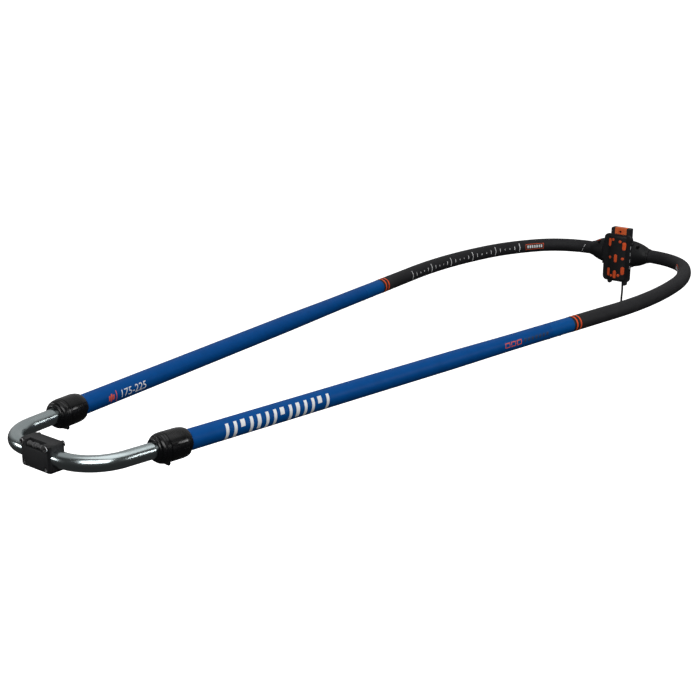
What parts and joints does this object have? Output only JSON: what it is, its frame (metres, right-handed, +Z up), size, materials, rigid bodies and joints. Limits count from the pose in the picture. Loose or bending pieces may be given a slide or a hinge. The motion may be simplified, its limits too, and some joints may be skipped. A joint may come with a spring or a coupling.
{
  "type": "windsurfing wishbone boom",
  "caption": "Wishbone boom for a windsurfing sail: clamp head for the mast, padded grips, painted arms, locking collars and a sliding alloy tail with line rollers.",
  "frame": {"origin": "middle of the mast pad's face, on the plane of the boom's tubes", "axes": "+Y forward from the tail to the head, +X to the right-hand arm, +Z up along the mast"},
  "size_m": [0.5626, 1.787, 0.2094],
  "materials": {
    "tube_dark": "dark anodised, sealed under the grips",
    "arm_blue": "satin blue lacquer over aluminium",
    "grip_foam": "fine-grained moulded foam",
    "band_orange": "satin",
    "steel": "stainless, satin",
    "head_plastic": "glass-filled nylon, fine texture",
    "liner_rubber": "satin",
    "pad_rubber": "matt",
    "stud_rubber": "satin",
    "catch_orange": "satin",
    "line_black": "braided",
    "collar_gloss": "glossy",
    "bush_plastic": "satin",
    "roller_plastic": "satin",
    "tail_alloy": "polished, light tube grain"
  },
  "bodies": {
    "wishbone": {"front_tube": "tube_dark", "arm_tube_left": "arm_blue", "arm_tube_right": "arm_blue", "grip_left": "grip_foam", "grip_right": "grip_foam", "grip_bands": "band_orange", "arm_rivets": "steel", "head_body": "head_plastic", "head_cap": "head_plastic", "tube_liner": "liner_rubber", "head_bolts": "steel", "head_nuts": "steel", "mast_pad": "pad_rubber", "pad_studs": "stud_rubber", "lever_pin": "steel", "line_ferrule": "steel", "clamp_line": "line_black", "line_knot": "line_black", "collar_left": "collar_gloss", "collar_right": "collar_gloss", "collar_bush_left": "bush_plastic", "collar_bush_right": "bush_plastic", "collar_ring_left": "collar_gloss", "collar_ring_right": "collar_gloss", "clip_hinge_pins": "steel", "collar_screws": "steel"},
    "head_lever": {"lever": "head_plastic", "catch_spring": "steel"},
    "lever_catch": {"catch": "catch_orange"},
    "right_clip": {"clip_right": "collar_gloss", "lock_pin_right": "steel"},
    "left_clip": {"clip_left": "collar_gloss", "lock_pin_left": "steel"},
    "tail": {"tail_bow": "tail_alloy", "tail_block_rear": "head_plastic", "tail_block_front": "head_plastic", "tail_screws": "steel", "line_eyes": "steel", "roller_axle": "steel"},
    "right_leg": {"tail_leg_right": "tail_alloy", "leg_glide_right": "bush_plastic"},
    "left_leg": {"tail_leg_left": "tail_alloy", "leg_glide_left": "bush_plastic"},
    "right_roller": {"roller_right": "roller_plastic"},
    "left_roller": {"roller_left": "roller_plastic"}
  },
  "joints": [
    {"name": "lever_swing", "type": "hinge", "parent": "wishbone", "child": "head_lever", "pos_m": [0, 0.033, 0.029], "axis": [-1, 0, 0], "range_deg": [0, 105]},
    {"name": "catch_press", "type": "slide", "parent": "head_lever", "child": "lever_catch", "axis": [0, 0, -1], "range_m": [0, 0.0035], "stiffness_N_per_m": 600, "springref_m": -0.003, "deforming": ["catch_spring"]},
    {"name": "right_clip_open", "type": "hinge", "parent": "wishbone", "child": "right_clip", "pos_m": [0.11858, -1.59411, -0.0224], "axis": [-0.9923, 0.1236, 0], "range_deg": [0, 95]},
    {"name": "left_clip_open", "type": "hinge", "parent": "wishbone", "child": "left_clip", "pos_m": [-0.11858, -1.59411, -0.0224], "axis": [-0.9923, -0.1236, 0], "range_deg": [0, 95]},
    {"name": "tail_slide", "type": "slide", "parent": "wishbone", "child": "tail", "axis": [0, -1, 0], "range_m": [0, 0.5]},
    {"name": "right_leg_follow", "type": "slide", "parent": "tail", "child": "right_leg", "axis": [-1, 0, 0], "range_m": [0, 0.0625]},
    {"name": "left_leg_follow", "type": "slide", "parent": "tail", "child": "left_leg", "axis": [1, 0, 0], "range_m": [0, 0.0625]},
    {"name": "right_roller_spin", "type": "hinge", "parent": "tail", "child": "right_roller", "pos_m": [0.009, -1.734, 0.0156], "axis": [1, 0, 0], "continuous": true},
    {"name": "left_roller_spin", "type": "hinge", "parent": "tail", "child": "left_roller", "pos_m": [-0.009, -1.734, 0.0156], "axis": [1, 0, 0], "continuous": true}
  ],
  "couplings": [
    {"joint": "right_leg_follow", "follows": "tail_slide", "ratio": 0.12456},
    {"joint": "left_leg_follow", "follows": "tail_slide", "ratio": 0.12456}
  ]
}
